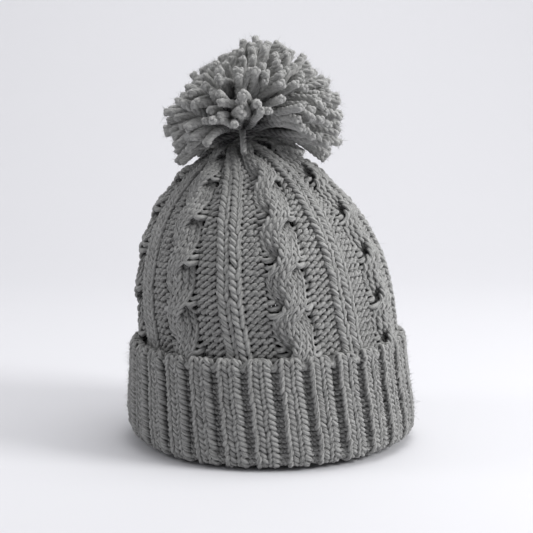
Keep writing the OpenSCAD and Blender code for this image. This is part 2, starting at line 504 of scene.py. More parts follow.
@dataclass
class Skin:
    """The middle surface of the fabric: a profile turned round an axis that may lean.

    Args:
        radii: the profile's radii, from the foot up.
        heights: its heights.
        lean: gives the axis's x at a height.
        turn: gives an angle's shift at a height, for features that drift sideways.
        warp: gives the rise of a point at an x, y and height, for edges that aren't level.
        relief: gives how far the fabric stands out at an arc length and angle, for ribs and furrows.
        pole: how far the wales' meeting point at the top is drawn aside, across and from front to back.
        reach: the radius within which they are drawn with it.
    """

    radii: Array
    heights: Array
    lean: Callable[[Array], Array] = lambda z: np.zeros_like(z)
    turn: Callable[[Array, Array], Array] = lambda z, angle: np.zeros_like(z)
    warp: Callable[[Array, Array, Array], Array] = lambda x, y, z: np.zeros_like(x)
    relief: Callable[[Array, Array], Array] = lambda s, angle: np.zeros_like(angle)
    pole: tuple[float, float] = (0.0, 0.0)
    reach: float = 0.0

    def __post_init__(self) -> None:
        """Works out the arc length and the outward direction along the profile."""
        step = np.hypot(np.diff(self.radii), np.diff(self.heights))
        self.run = np.concatenate([[0], np.cumsum(step)])
        self.length = float(self.run[-1])
        even = np.linspace(0, self.length, 600)
        r, z = np.interp(even, self.run, self.radii), np.interp(even, self.run, self.heights)
        kernel = np.hanning(15) / np.hanning(15).sum()
        r, z = (np.convolve(np.pad(a, 7, mode="reflect", reflect_type="odd"), kernel, "valid") for a in (r, z))
        self.even, self.r, self.z = even, r, z
        dr, dz = np.gradient(r, even), np.gradient(z, even)
        size = np.hypot(dr, dz)
        self.out_r, self.out_z = dz / size, -dr / size

    def at_height(self, height: float) -> float:
        """The arc length at which the profile reaches a height, on its rising part."""
        start, stop = int(np.argmin(self.z)), int(np.argmax(self.z))
        return float(np.interp(height, self.z[start:stop], self.even[start:stop]))

    def radius(self, s: Array) -> Array:
        """The profile's radius at arc lengths."""
        return np.interp(s, self.even, self.r)

    def height(self, s: Array) -> Array:
        """The profile's height at arc lengths."""
        return np.interp(s, self.even, self.z)

    def drawn(self, s: Array, angle: Array) -> tuple[Array, Array]:
        """Draws the wales aside near the top without changing the skin's shape.

        Args:
            s: arc lengths from the foot.
            angle: angles from the front.

        Returns:
            The arc lengths and angles at which such points then lie.
        """
        if not self.reach:
            return s, angle
        r = np.interp(s, self.even, self.r)
        share = smooth(1 - r / self.reach)
        x, y = r * np.sin(angle) + self.pole[0] * share, -r * np.cos(angle) + self.pole[1] * share
        top = int(np.argmax(self.r < self.reach * 1.3))
        moved = np.interp(np.hypot(x, y), self.r[top:][::-1], self.even[top:][::-1])
        return np.where(share > 0, moved, s), np.arctan2(x, -y)

    def place(self, s: Array, angle: Array, out: Array) -> Array:
        """Puts points on the skin.

        Args:
            s: arc lengths from the foot.
            angle: angles from the front, towards the right.
            out: how far each point stands out from the skin.

        Returns:
            The points, with x, y and z on the last axis.
        """
        out = out + self.relief(s, angle)
        s, angle = self.drawn(s, angle)
        r = np.interp(s, self.even, self.r) + out * np.interp(s, self.even, self.out_r)
        level = np.interp(s, self.even, self.z)
        z = level + out * np.interp(s, self.even, self.out_z)
        angle = angle + self.turn(level, angle)
        x, y = self.lean(level) + r * np.sin(angle), -r * np.cos(angle)
        return np.stack([x, y, z + self.warp(x, y, level)], axis=-1)

    def outward(self, s: Array, angle: Array) -> Array:
        """The way out of the fabric, as unit vectors, at arc lengths and angles."""
        s, angle = self.drawn(s, angle)
        angle = angle + self.turn(np.interp(s, self.even, self.z), angle)
        r, z = np.interp(s, self.even, self.out_r), np.interp(s, self.even, self.out_z)
        return np.stack([r * np.sin(angle), -r * np.cos(angle), z], axis=-1)


@dataclass
class Wales:
    """Where each wale of a set of courses runs, as (course, wale, point) arrays.

    Args:
        centre: each wale's middle, as an angle from the front.
        width: its width, as an angle.
        out: how far it stands out from the skin.
        loops: the kind of stitch of each wale.
    """

    centre: Array
    width: Array
    out: Array
    loops: list[Loop]


class Knitter:
    """Turns wales and courses into strands of yarn."""

    def __init__(self, skin: Skin, row: float, seed: int, samples: int = 14, sides: int = 7,
                 heads_up: bool = True) -> None:
        """Sets up the knitting of one layer.

        Args:
            skin: the fabric's middle surface.
            row: the height of a course.
            seed: seeds this layer's small irregularities.
            samples: points in each stitch.
            sides: sides of the yarn's tube.
            heads_up: False for fabric that is worn upside down.
        """
        self.skin = skin
        self.up = 1 if heads_up else -1
        self.row = row
        self.samples = samples
        self.sides = sides
        self.random = np.random.default_rng(seed)
        self.t = np.linspace(-math.pi, math.pi, samples + 1)
        self.join = 0.52 * math.pi
        # Fabric this much lower than the rest is painted in full shade
        self.deep_by = 15 * MM

    def fuzz(self, name: str, yarn: bpy.types.Material, low: float, high: float, count: int) -> bpy.types.Object:
        """Loose fibres all over the fabric's outside.

        Args:
            name: the piece's name.
            yarn: its finish.
            low: the arc length from which they grow, and
            high: the one up to which they do.
            count: how many there are.

        Returns:
            Their piece.
        """
        s = self.random.uniform(low, high, count)
        s = s[self.random.random(count) < self.skin.radius(s) / self.skin.r.max()]
        angle = self.random.uniform(0, TURN, len(s))
        ways = self.skin.outward(s, angle)
        roots = self.skin.place(s, angle, np.full(len(s), 1.8 * MM))
        return YarnPiece(name, yarn).add(fibres(roots, ways, 2.6 * MM, 0.13 * MM, self.random)).build()

    def values(self, loops: list[Loop], name: str) -> Array:
        """One property of each wale's stitch, shaped to fit (course, wale, point) arrays."""
        return np.array([getattr(loop, name) for loop in loops], float)[None, :, None]

    def rise(self, loops: list[Loop]) -> Array:
        """How far above its course's level each point of each stitch lies."""
        t = self.t[None, None, :]
        shape = self.values(loops, "rise") * np.cos(t) + self.values(loops, "slant") * np.sin(2 * t)
        return self.up * self.row * shape

    def courses(self, levels: Array, loops: list[Loop], wales: Callable[[Array], Wales],
                jitter: float = 1.0) -> Strands:
        """Knits a set of courses with the same wales.

        Args:
            levels: each course's arc length from the foot.
            loops: the kind of stitch of each wale.
            wales: gives the wales' places for arc lengths shaped (course, wale, point).
            jitter: how irregular the stitches are, 1 being a machine knit's ordinary unevenness.

        Returns:
            One closed strand for each course.
        """
        t = self.t[None, None, :]
        count, many = len(levels), len(loops)
        along = np.broadcast_to(self.rise(loops), (count, many, len(self.t)))
        s = levels[:, None, None] + along
        laid = wales(s)
        width = laid.width
        face = np.array([loop.face.value for loop in loops], float)[None, :, None]
        splay, skew = self.values(loops, "splay"), self.values(loops, "skew")
        angle = laid.centre + width * (t / TURN + splay * np.sin(2 * t) + skew * np.cos(t))
        out = laid.out - face * self.values(loops, "depth") * np.cos(2 * t) - self.values(loops, "tip") * np.sin(t)
        radius = np.broadcast_to(self.values(loops, "radius"), s.shape).copy()

        def uneven(size: float) -> Array:
            return jitter * size * self.random.standard_normal((count, many, 1))

        angle = angle + uneven(0.045) * width
        s = s + uneven(0.055) * self.row
        out = out + uneven(0.16 * MM)
        radius = radius * (1 + np.clip(uneven(0.05), -0.12, 0.12))

        right = smooth((t - self.join) / (math.pi - self.join))
        left = smooth((-t - self.join) / (math.pi - self.join))
        # A foot stretched over a gap, as beside a cable's crossing, is a thick float that lies on top
        gap = np.abs(np.roll(angle[:, :, 0], -1, axis=1) - angle[:, :, -1])
        gap[:, -1] = 0.0
        gap = gap * self.skin.radius(levels)[:, None]
        float_right = smooth((gap - 1.5 * MM) / (4 * MM))
        floating = right * float_right[:, :, None] + left * np.roll(float_right, 1, axis=1)[:, :, None]
        # Painted shade: yarn is painted darker the further back it lies in its stitch and the lower its fabric lies,
        # as in the furrows, and floats lying on top are painted lighter
        base = laid.out + self.skin.relief(s, angle)
        painted_light = (out - laid.out) / (2.8 * MM) + base / self.deep_by + 0.16
        out = out + 2.3 * MM * floating
        radius = radius * (1 + 0.5 * floating)
        painted_light = painted_light + 0.5 * floating

        joined = []
        for a, wrap in ((angle, TURN), (s, 0.0), (out, 0.0), (radius, 0.0), (painted_light, 0.0)):
            following = np.roll(a[:, :, 0], -1, axis=1)
            following[:, -1] += wrap
            middle = (a[:, :, -1] + following) / 2
            before = np.roll(middle, 1, axis=1)
            before[:, 0] -= wrap
            a = a + right * (middle - a[:, :, -1])[:, :, None] + left * (before - a[:, :, 0])[:, :, None]
            joined.append(a[:, :, :-1].reshape(count, -1))
        angle, s, out, radius, painted_light = joined
        return Strands(self.skin.place(s, angle, out), radius, True, self.sides, painted_light,
                       self.skin.outward(s, angle), 0.82)


# ---------------------------------------------------------------- cuff

@dataclass
class Cuff:
    """The turned-up cuff in 2 x 2 rib, from the fold that the hat stands on to the cast-on edge.

    The fabric is inside out here, so a knit stitch stands on its head: its right leg is the broad one.
    """

    yarn: bpy.types.Material
    rim_r: float = 97.7 * MM
    top_r: float = 94.0 * MM
    inner_r: float = 88.3 * MM
    height: float = 70.6 * MM
    brow: float = 2.7 * MM
    foot: float = 3.9 * MM
    ribs: int = 30
    row: float = 3.45 * MM
    first_furrow: float = math.radians(-8.6)
    furrow_share: float = 0.27
    furrow_depth: float = 4.2 * MM
    tilt: float = 0.026
    lean: float = 2.6 * MM
    foot_lift: float = 3.2 * MM

    left_wale: Loop = Loop(Face.KNIT, 0.25, 0.82, 1.4 * MM, 0.10, 0.0, 0.45 * MM, 1.52 * MM)
    right_wale: Loop = Loop(Face.KNIT, 0.27, 0.74, 1.4 * MM, 0.12, 0.0, -0.3 * MM, 1.52 * MM)
    sunk: Loop = Loop(Face.PURL, 0.24, 0.7, 1.5 * MM, 0.06, 0.16, 0.0, 1.2 * MM)

    def skin(self) -> Skin:
        """The cuff's middle surface, from inside the fold, round the foot and up to the edge.

        Returns:
            The skin.
        """
        bend = (self.rim_r - self.inner_r - 0.6 * MM) / 2
        around = np.linspace(math.pi, TURN, 24)
        middle = self.inner_r + bend
        fold_r = middle + bend * np.cos(around)
        fold_z = self.foot + bend + bend * np.sin(around)
        up = np.linspace(0, 1, 40)[1:]
        side_z = fold_z[-1] + (self.height - self.brow - fold_z[-1]) * up
        z_mm = side_z / MM
        swell = 0.6 * np.exp(-((z_mm - 20) / 14) ** 2)
        side_r = self.rim_r - 0.6 * MM + swell * MM - (self.rim_r - self.top_r) * smooth((z_mm - 14) / 60)
        start_r, start_z = np.array([self.inner_r]), np.array([fold_z[0] + 2.5 * MM])
        # The edge rolls inwards, so the ribs run over it
        over = np.linspace(0, 0.8 * math.pi, 12)[1:]
        brow_r = side_r[-1] - self.brow * (1 - np.cos(over))
        brow_z = side_z[-1] + self.brow * np.sin(over)
        return Skin(
            np.concatenate([start_r, fold_r, side_r, brow_r]),
            np.concatenate([start_z, fold_z, side_z, brow_z]),
            lean=lambda z: -self.lean * smooth(z / self.height),
            turn=lambda z, angle: -np.radians(2.6 - 1.6 * np.sin(angle)) * (z / self.height - 0.5),
            warp=self.unlevel,
            relief=self.ridges,
        )

    def unlevel(self, x: Array, y: Array, z: Array) -> Array:
        """The edge rises to the right, and the foot leaves the floor a little at both sides.

        Args:
            x: places across the hat.
            y: places from front to back.
            z: heights on the level cuff.

        Returns:
            How far each point rises.
        """
        edge = self.tilt * x * smooth(z / self.height) ** 2
        right = np.clip((x - 0.3 * y) / (100 * MM), 0, 1.2)
        left = np.clip((-x - 45 * MM) / (55 * MM), 0, 1)
        return edge + self.foot_lift * (right ** 2 + 1.9 * left ** 2) * smooth(1 - z / (45 * MM))

    def ridges(self, s: Array, angle: Array) -> Array:
        """The ribs' round backs and the furrows between them, shallower where the fabric folds.

        Args:
            s: arc lengths from inside the fold.
            angle: angles from the front.

        Returns:
            How far the fabric stands out there.
        """
        phase = (angle - self.first_furrow) / (TURN / self.ribs)
        off = np.abs(phase - np.floor(phase) - 0.5)
        depth = self.furrow_depth * (0.3 + 0.7 * smooth((s - 10 * MM) / (16 * MM)))
        return -depth * (smooth((off - 0.27) / 0.23) + 0.9 * off ** 2)

    def build(self) -> list[bpy.types.Object]:
        """Knits the cuff.

        Returns:
            Its pieces.
        """
        skin = self.skin()
        knitter = Knitter(skin, self.row, seed=11, samples=14, sides=8, heads_up=False)
        loops = [self.sunk, self.left_wale, self.right_wale, self.sunk] * self.ribs
        pitch = TURN / self.ribs
        ridge, gap = 1 - self.furrow_share, self.furrow_share
        starts = np.array([0.0, gap / 2, gap / 2 + ridge / 2, 1 - gap / 2])
        widths = np.array([gap / 2, ridge / 2, ridge / 2, gap / 2])
        middles = (np.arange(self.ribs)[:, None] + (starts + widths / 2)[None, :]).ravel() * pitch
        widths = np.tile(widths, self.ribs) * pitch

        def wales(s: Array) -> Wales:
            centre = self.first_furrow + middles[None, :, None] + 0 * s
            return Wales(centre, widths[None, :, None] + 0 * s, 0 * s, loops)

        levels = np.arange(2.2 * MM, skin.length - 0.6 * self.row, self.row)
        middle = len(levels) // 2
        pieces = []
        for name, part in (("cuff_courses_lower", levels[:middle]), ("cuff_courses_upper", levels[middle:])):
            courses = knitter.courses(part, loops, wales)
            parts = max(1, math.ceil(courses.points.shape[0] * courses.points.shape[1] * 8 / 95000))
            for k, chunk in enumerate(np.array_split(np.arange(len(part)), parts)):
                piece = YarnPiece(f"{name}_{k + 1}", self.yarn)
                piece.add(Strands(courses.points[chunk], courses.radii[chunk], True, 8,
                                  courses.painted_light_level[chunk], courses.outward[chunk], courses.spread))
                pieces.append(piece.build())
        pieces.append(self.cast_on(skin, pitch))
        pieces.append(knitter.fuzz("cuff_fuzz", self.yarn, 22 * MM, skin.length, 9000))
        return pieces

    def cast_on(self, skin: Skin, pitch: float) -> bpy.types.Object:
        """The cast-on edge: a two-strand twist with a bead over every wale.

        Args:
            skin: the cuff's middle surface.
            pitch: the angle from one rib to the next.

        Returns:
            The edge's piece.
        """
        points = 120 * 12
        angle = np.linspace(0, TURN, points, endpoint=False)
        rib = 0.5 + 0.5 * np.cos((angle - self.first_furrow) * self.ribs)
        strands, radii = [], []
        for phase in (0.0, math.pi):
            twist = angle * 4 * self.ribs / 2 + phase
            s = skin.length - 0.1 * self.row + 1.1 * MM * np.cos(twist) - 0.6 * MM * rib
            out = 1.1 * MM * np.sin(twist)
            strands.append(skin.place(s, angle, out))
            radii.append(np.full(points, 1.6 * MM))
        piece = YarnPiece("cast_on_edge", self.yarn)
        piece.add(Strands(np.array(strands), np.array(radii), True, 8))
        return piece.build()


# ---------------------------------------------------------------- crown

@dataclass
class Crown:
    """The crown: seven panels of rib, purl ground and rope cable, drawn up at the top.

    Each panel, from the middle of one rib to the next, has a knit wale, three purl ones, a cable of six knit
    wales in two strands, three purl ones and a knit wale.
    """

    yarn: bpy.types.Material
    wall_r: float = 84.6 * MM
    dome_z: float = 80 * MM
    top_z: float = 203.0 * MM
    foot_z: float = 62 * MM
    lean_from: float = 70 * MM
    lean: float = 13 * MM
    belly: float = 2.4 * MM
    panels: int = 7
    row: float = 4.35 * MM
    first_rib: float = math.radians(-15.1)
    full_panel: float = 78.5 * MM
    rib_wale: float = 8.2 * MM
    cable_wale: float = 4.7 * MM
    left_share: float = 0.463
    crossing: float = 29.4 * MM
    crossing_z: float = 103 * MM
    swing: float = 6.5 * MM
    roll: float = 3.4 * MM

    rib: Loop = Loop(Face.KNIT, 0.25, 0.84, 1.5 * MM, -0.10, 0.0, 0.3 * MM, 1.66 * MM)
    ground: Loop = Loop(Face.PURL, 0.2, 0.72, 1.55 * MM, 0.0, 0.2, 0.0, 1.42 * MM)
    strand: Loop = Loop(Face.KNIT, 0.26, 0.8, 1.45 * MM, -0.05, 0.0, 0.1 * MM, 1.28 * MM)

    def axis(self, z: Array) -> Array:
        """The crown's axis leans to the left: its x at heights."""
        share = np.clip((z - self.lean_from) / (203 * MM - self.lean_from), 0, 1)
        return -self.lean * np.sin(math.pi / 2 * share) + self.belly * np.sin(math.pi * share) ** 2

    def skin(self) -> Skin:
        """The crown's middle surface, a straight wall and a dome.

        Returns:
            The skin.
        """
        q = np.linspace(0, 1, 400)
        u = np.sin(math.pi / 2 * q * 0.985)
        dome_r = self.wall_r * (1 - u ** 2.45) ** (1 / 1.47)
        dome_z = self.dome_z + u * (self.top_z - self.dome_z)
        wall_z = np.linspace(self.foot_z, self.dome_z, 20)[:-1]
        return Skin(
            np.concatenate([np.full(len(wall_z), self.wall_r), dome_r]),
            np.concatenate([wall_z, dome_z]),
            lean=self.axis,
            turn=lambda z, angle: np.radians(2.2) * smooth((110 * MM - z) / (45 * MM)),
            pole=(-11 * MM, 3 * MM),
            reach=56 * MM,
        )

    def widths(self, panel: Array) -> tuple[Array, Array, Array]:
        """Shares a panel's width out: decreases eat the purl ground first.

        Args:
            panel: the panel's width.

        Returns:
            The widths of one rib wale, of the whole cable and of all the purl ground.
        """
        share = panel / self.full_panel
        rib = self.rib_wale * share ** 0.4
        cable = 6 * self.cable_wale * share ** 0.5
        ground = np.maximum(panel - 2 * rib - cable, 0.16 * panel)
        squeeze = (panel - ground) / (2 * rib + cable)
        return rib * squeeze, cable * squeeze, ground

    def build(self) -> list[bpy.types.Object]:
        """Knits the crown.

        Returns:
            Its pieces, in bands from the cuff to the top.
        """
        skin = self.skin()
        knitter = Knitter(skin, self.row, seed=23, samples=14, sides=7)
        cross_s = skin.at_height(self.crossing_z)
        levels = np.arange(1.2 * self.row, skin.length - 1.0 * self.row, self.row)
        panel = TURN * skin.radius(levels) / self.panels
        _, _, ground = self.widths(panel)
        purls = np.where(ground > 6 * 3.7 * MM, 3, np.where(ground > 4 * 3.0 * MM, 2, 1))
        # A cable's strands change places at every crossing
        left_first = np.floor((levels - cross_s) / self.crossing).astype(int) % 2 == 0
        pieces: list[bpy.types.Object] = []
        pending: list[Strands] = []
        names = iter(("crown_courses_band", "crown_courses_side", "crown_courses_shoulder", "crown_courses_high",
                      "crown_courses_top", "crown_courses_gather", "crown_courses_last"))
        size = 0
        start = 0
        while start < len(levels):
            stop = start
            while stop < len(levels) and purls[stop] == purls[start] and left_first[stop] == left_first[start]:
                stop += 1
            courses = self.knit(knitter, levels[start:stop], int(purls[start]), bool(left_first[start]), cross_s)
            quads = courses.points.shape[0] * courses.points.shape[1] * courses.sides
            if pending and size + quads > 95000:
                pieces.append(self.gather_piece(next(names), pending))
                pending, size = [], 0
            pending.append(courses)
            size += quads
            start = stop
        pieces.append(self.gather_piece(next(names), pending))
        pieces.append(knitter.fuzz("crown_fuzz", self.yarn, 8 * MM, skin.length, 9500))
        return pieces

    def gather_piece(self, name: str, sets: list[Strands]) -> bpy.types.Object:
        """Makes one piece of several sets of courses."""
        piece = YarnPiece(name, self.yarn)
        for strands in sets:
            piece.add(strands)
        return piece.build()

    def knit(self, knitter: Knitter, levels: Array, purls: int, second_first: bool, cross_s: float) -> Strands:
        """Knits courses that have the same wales in the same order.

        Args:
            knitter: the layer's knitter.
            levels: the courses' arc lengths.
            purls: purl wales on each side of a cable.
            second_first: whether the cable's second strand is on the left.
            cross_s: the arc length of one of the crossings.

        Returns:
            One closed strand for each course.
        """
        one = ([self.rib] + [self.ground] * purls + [self.strand] * 6 + [self.ground] * purls + [self.rib])
        loops = one * self.panels
        order = [1] * 3 + [0] * 3 if second_first else [0] * 3 + [1] * 3
        places = [-1, 0, 1, -1, 0, 1]

        def wales(s: Array) -> Wales:
            panel = TURN * knitter.skin.radius(s) / self.panels
            rib, cable, ground = self.widths(panel)
            left, right = ground * self.left_share, ground * (1 - self.left_share)
            turn = math.pi * (s - cross_s) / self.crossing
            narrow = np.clip(cable / (6 * self.cable_wale), 0.2, 1.2)
            # At a crossing the cable is this much slimmer on its left side
            waist = (self.swing + 2.2 * MM) * np.cos(turn) ** 2
            centre, width, out = np.empty_like(s), np.empty_like(s), np.empty_like(s)
            for k in range(self.panels):
                for i in range(len(one)):
                    w = k * len(one) + i
                    if i == 0:
                        c, b, o = rib[:, w] / 2, rib[:, w], 1.0 * MM
                    elif i <= purls:
                        b = (left[:, w] + 0.12 * waist[:, w] * narrow[:, w]) / purls
                        c, o = rib[:, w] + b * (i - 0.5), -0.5 * MM
                    elif i <= purls + 6:
                        j = i - purls - 1
                        sign = 1 if order[j] == 0 else -1
                        across, depth = sign * np.sin(turn[:, w]), sign * np.cos(turn[:, w])
                        # It dives only close to the crossing
                        depth = depth * np.abs(depth) ** 1.2
                        tilt = math.radians(28) * across
                        middle = rib[:, w] + left[:, w] + cable[:, w] / 2 + 2.2 * MM * narrow[:, w] * depth ** 2
                        offset = places[j] * self.cable_wale * narrow[:, w]
                        b = self.cable_wale * narrow[:, w]
                        c = middle + self.swing * narrow[:, w] * across + offset * np.cos(tilt)
                        o = 1.6 * MM + self.roll * depth - offset * np.sin(tilt)
                    elif i <= 2 * purls + 6:
                        b = right[:, w] / purls
                        c = rib[:, w] + left[:, w] + cable[:, w] + b * (i - purls - 6 - 0.5)
                        o = -0.5 * MM
                    else:
                        c, b, o = panel[:, w] - rib[:, w] / 2, rib[:, w], 1.0 * MM
                    scale = TURN / self.panels / panel[:, w]
                    centre[:, w] = self.first_rib + TURN * k / self.panels + c * scale
                    width[:, w] = b * scale
                    out[:, w] = o
            return Wales(centre, width, out, loops)

        return knitter.courses(levels, loops, wales)


@dataclass
class HiddenLayer:
    """The inner turn of the brim behind the cuff, in the same 2 x 2 rib: seen from below and when it unrolls."""

    yarn: bpy.types.Material
    middle_r: float = 87.5 * MM
    top_r: float = 85.0 * MM
    low_z: float = 9.6 * MM
    high_z: float = 66 * MM
    ribs: int = 30
    row: float = 3.45 * MM
    knit: Loop = Loop(Face.KNIT, 0.10, 0.88, 0.75 * MM, -0.06, 0.08, 0.2 * MM, 1.55 * MM)
    purl: Loop = Loop(Face.PURL, 0.10, 0.88, 0.75 * MM, 0.0, 0.10, 0.0, 1.55 * MM)

    def build(self) -> list[bpy.types.Object]:
        """Knits the hidden layer.

        Returns:
            Its piece.
        """
        z = np.linspace(self.low_z - 1.5 * MM, self.high_z, 60)
        r = self.middle_r - (self.middle_r - self.top_r) * smooth((z - 50 * MM) / (16 * MM))
        knitter = Knitter(Skin(r, z), self.row, seed=31, samples=10, sides=6)
        loops = [self.purl, self.knit, self.knit, self.purl] * self.ribs
        wide = TURN / len(loops)
        middles = (np.arange(len(loops)) + 0.5) * wide
        sunk = np.tile([-0.6, 0.6, 0.6, -0.6], self.ribs) * MM

        def wales(s: Array) -> Wales:
            return Wales(middles[None, :, None] + 0 * s, wide + 0 * s, sunk[None, :, None] + 0 * s, loops)

        levels = np.arange(1.5 * MM, knitter.skin.length, self.row)
        half = len(levels) // 2
        pieces = []
        for name, part in (("hidden_layer_lower", levels[:half]), ("hidden_layer_upper", levels[half:])):
            pieces.append(YarnPiece(name, self.yarn).add(knitter.courses(part, loops, wales, 0.8)).build())
        return pieces


# ---------------------------------------------------------------- pom pom

@dataclass
class PomPom:
    """The ball of cut yarn. Its strands spread from the tie, and the lowest lie on the crown at both sides.

    Each strand shows its three plies, which open a little where the shears cut them.
    """

    yarn: bpy.types.Material
    middle: tuple[float, float, float] = (-12 * MM, 0.0, 217.5 * MM)
    tie: tuple[float, float, float] = (-20 * MM, -4 * MM, 212.5 * MM)
    radius: float = 57.5 * MM
    flat: float = 0.93
    count: int = 345
    strand_r: float = 3.0 * MM
    rings: int = 21
    sides: int = 6
    # The slope of the lowest strands, in degrees, at angles from the front towards the right: high at the
    # front, where the crown's top shows, and low at the sides and the back
    low_at: tuple[float, ...] = (-180, -135, -90, -62, -36, -20, -8, 5, 16, 28, 45, 70, 95, 135, 180)
    low: tuple[float, ...] = (-24, -29, -33, -30, -14, -3, 1, 6, 5, -3, -12, -20, -26, -28, -24)

    def directions(self, random: np.random.Generator) -> Array:
        """Even directions over the ball, drawn together into tufts.

        Args:
            random: the pom pom's own generator.

        Returns:
            One unit vector for each strand, from the top down.
        """
        total = int(self.count * 1.45)
        k = np.arange(total) + 0.5
        height = 1 - 2 * k / total
        azimuth = (k * math.pi * (3 - math.sqrt(5)) + math.pi) % TURN - math.pi
        azimuth += random.normal(0, 0.06, total) / np.sqrt(np.maximum(1 - height ** 2, 0.05))
        slope = np.arcsin(height) + random.normal(0, 0.05, total)
        keep = slope > np.radians(np.interp(np.degrees(azimuth), self.low_at, self.low))
        azimuth, slope = azimuth[keep], slope[keep]
        flat = np.cos(slope)
        rays = np.stack([flat * np.sin(azimuth), -flat * np.cos(azimuth), np.sin(slope)], -1)
        tufts = unit(random.standard_normal((90, 3)))
        nearest = tufts[np.argmax(rays @ tufts.T, axis=1)]
        pull = random.uniform(0.0, 0.3, (len(rays), 1))
        return unit(rays + pull * (nearest - rays))

    def build(self) -> list[bpy.types.Object]:
        """Lays the strands.

        Returns:
            The pom pom's pieces.
        """
        random = np.random.default_rng(52)
        rays = self.directions(random)
        count = len(rays)
        middle, tie = np.array(self.middle), np.array(self.tie)
        reach = self.radius * (1 + random.normal(0, 0.035, count))
        # The ball is trimmed a little flatter at its upper left
        reach -= 6 * MM * smooth((rays @ np.array([-0.64, 0.0, 0.77]) - 0.72) / 0.24)
        tips = middle + rays * reach[:, None] * np.array([1, 1, self.flat])
        root = tie + random.normal(0, 2.0 * MM, (count, 3))
        way = tips - root
        length = np.linalg.norm(way, axis=1, keepdims=True)
        side = unit(np.cross(rays, random.standard_normal((count, 3))))
        bend = random.normal(0, 0.06, (count, 1)) * length * side
        bend[:, 2] += (0.05 + 0.05 * np.abs(rays[:, 0])) * length[:, 0] * (rays[:, 2] < 0.6)
        tau = np.linspace(0, 1, self.rings)
        points = (root[:, None] + way[:, None] * tau[None, :, None]
                  + bend[:, None] * (4 * tau * (1 - tau))[None, :, None])
        wander = random.normal(0, 0.55 * MM, (count, 4, 3))
        for k in range(4):
            points += wander[:, k][:, None] * np.sin(math.pi * (k + 1) * tau)[None, :, None] / (k + 1)
        thick = self.strand_r * (0.5 + 0.5 * smooth(tau / 0.6))
        size = 1 + random.normal(0, 0.07, count)
        radii = thick[None, :] * size[:, None] * (1 + random.normal(0, 0.02, (count, self.rings)))
        # Painted shade: each strand is painted in full shade from the tie to about a third of its length, and lighter
        # out to its tip
        painted_light = np.tile(0.98 * smooth((tau - 0.36) / 0.58), (count, 1))
        core = Strands(points, radii, False, self.sides, painted_light)
        phase = random.uniform(0, TURN, (count, 1))
        flare = 1 + random.uniform(-0.12, 0.2, (count, 1)) * smooth((tau - 0.85) / 0.15)[None, :]
        ends = self.round_off(plied(core, 13 * MM, phase, flare))
        pieces = []
        for name, part in zip(("top", "middle", "low"), np.array_split(np.arange(count), 3)):
            rows = np.concatenate([part + count * ply for ply in range(3)])
            piece = YarnPiece(f"pompom_ends_{name}", self.yarn)
            piece.add(Strands(ends.points[rows], ends.radii[rows], False, self.sides, ends.painted_light_level[rows],
                              ends.outward[rows], ends.spread))
            pieces.append(piece.build())
        pieces.append(self.slipped(tie, random))
        pieces.append(self.fray(points, radii, random))
        return pieces

    def slipped(self, tie: Array, random: np.random.Generator) -> bpy.types.Object:
        """One short strand that has slipped out in front and hangs over the crown's top.

        Args:
            tie: where the strands meet.
            random: the pom pom's own generator.

        Returns:
            The strand's piece.
        """
        tau = np.linspace(0, 1, self.rings)[:, None]
        over = tie + np.array([0.5, -14.0, 3.0]) * MM
        down = tie + np.array([1.5, -31.0, -13.0]) * MM
        points = (tie * (1 - tau) ** 2 + 2 * over * tau * (1 - tau) + down * tau ** 2)[None]
        radii = np.full((1, self.rings), 2.3 * MM)
        # The slipped strand is painted with a little shade along its whole length
        core = Strands(points, radii, False, self.sides, np.full((1, self.rings), 0.8))
        return YarnPiece("slipped_strand", self.yarn).add(self.round_off(plied(core, 13 * MM))).build()

    def fray(self, points: Array, radii: Array, random: np.random.Generator) -> bpy.types.Object:
        """Loose fibres at the cut ends and along the outer part of each strand.

        Args:
            points: the strands' centre lines.
            radii: their radii.
            random: the pom pom's own generator.

        Returns:
            The fibres' piece.
        """
        many = 28
        strand = np.repeat(np.arange(len(points)), many)
        ring = np.where(random.random(len(strand)) < 0.65, self.rings - 1,
                        random.integers(self.rings // 2, self.rings, len(strand)))
        along = unit(points[strand, ring] - points[strand, ring - 2])
        out = unit(np.cross(along, random.standard_normal((len(strand), 3))))
        ways = unit(out + along * random.uniform(0.2, 1.8, (len(strand), 1)))
        roots = points[strand, ring] + 0.7 * radii[strand, ring][:, None] * out
        return YarnPiece("pompom_fray", self.yarn).add(fibres(roots, ways, 2.8 * MM, 0.15 * MM, random)).build()

    def round_off(self, strands: Strands) -> Strands:
        """Closes each strand's cut end with a dome and its root with a point.

        Args:
            strands: open strands.

        Returns:
            The same with the dome's rings added.
        """
        points, radii = strands.points, strands.radii.copy()
        way = unit(points[:, -1] - points[:, -2])
        radii[:, 0] = 0.05 * MM
        extra, rings = [], []
        for step in (35, 65, 89):
            a = math.radians(step)
            extra.append(points[:, -1] + way * (0.75 * math.sin(a) * radii[:, -1:]))
            rings.append(radii[:, -1] * math.cos(a))
        return replace(
            strands,
            points=np.concatenate([points, np.stack(extra, 1)], axis=1),
            radii=np.concatenate([radii, np.stack(rings, 1)], axis=1),
            painted_light_level=np.concatenate([strands.painted_light_level, np.repeat(strands.painted_light_level[:, -1:], 3, 1)], axis=1),
            outward=np.concatenate([strands.outward, np.repeat(strands.outward[:, -1:], 3, 1)], axis=1),
        )


# ---------------------------------------------------------------- sewing, knots and label

